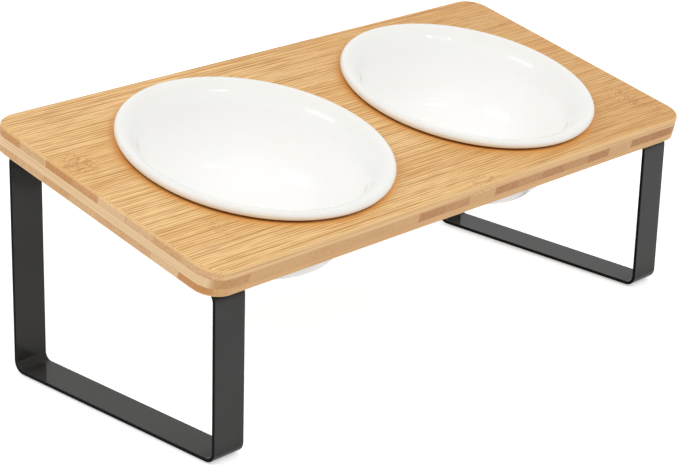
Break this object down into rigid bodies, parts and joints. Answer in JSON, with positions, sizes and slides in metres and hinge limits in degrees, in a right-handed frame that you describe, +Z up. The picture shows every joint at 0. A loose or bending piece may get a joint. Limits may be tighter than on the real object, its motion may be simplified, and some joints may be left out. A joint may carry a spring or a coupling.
{
  "type": "elevated double cat bowl",
  "caption": "Raised pet feeder: a sloping laminated bamboo board on bent flat-bar legs, with round white ceramic bowls that lift out.",
  "frame": {"origin": "on the floor, under the middle of the stand's outline", "axes": "+X along the board from the left bowl to the right bowl, +Y from the low front edge to the high back edge, +Z up"},
  "size_m": [0.38, 0.1702, 0.1452],
  "materials": {
    "bamboo_face": "oiled bamboo strips, satin, grain along the board",
    "bamboo_core": "oiled bamboo strips, satin, grain across the board",
    "white_glaze": "smooth glossy warm white glaze",
    "black_powder_coat": "satin black powder coat on steel",
    "black_screw": "black oxide, satin",
    "foot_pad_rubber": "matt black foam rubber"
  },
  "bodies": {
    "stand": {"top_ply": "bamboo_face", "core_ply": "bamboo_core", "bottom_ply": "bamboo_face", "left_leg_frame": "black_powder_coat", "right_leg_frame": "black_powder_coat", "left_leg_screws": "black_screw", "right_leg_screws": "black_screw", "left_front_foot_pad": "foot_pad_rubber", "left_back_foot_pad": "foot_pad_rubber", "right_front_foot_pad": "foot_pad_rubber", "right_back_foot_pad": "foot_pad_rubber"},
    "left_bowl": {"left_bowl": "white_glaze"},
    "right_bowl": {"right_bowl": "white_glaze"}
  },
  "joints": [
    {"name": "left_bowl_lift", "type": "slide", "parent": "stand", "child": "left_bowl", "axis": [0, -0.2215, 0.9751], "range_m": [0, 0.075]},
    {"name": "right_bowl_lift", "type": "slide", "parent": "stand", "child": "right_bowl", "axis": [0, -0.2215, 0.9751], "range_m": [0, 0.075]}
  ]
}
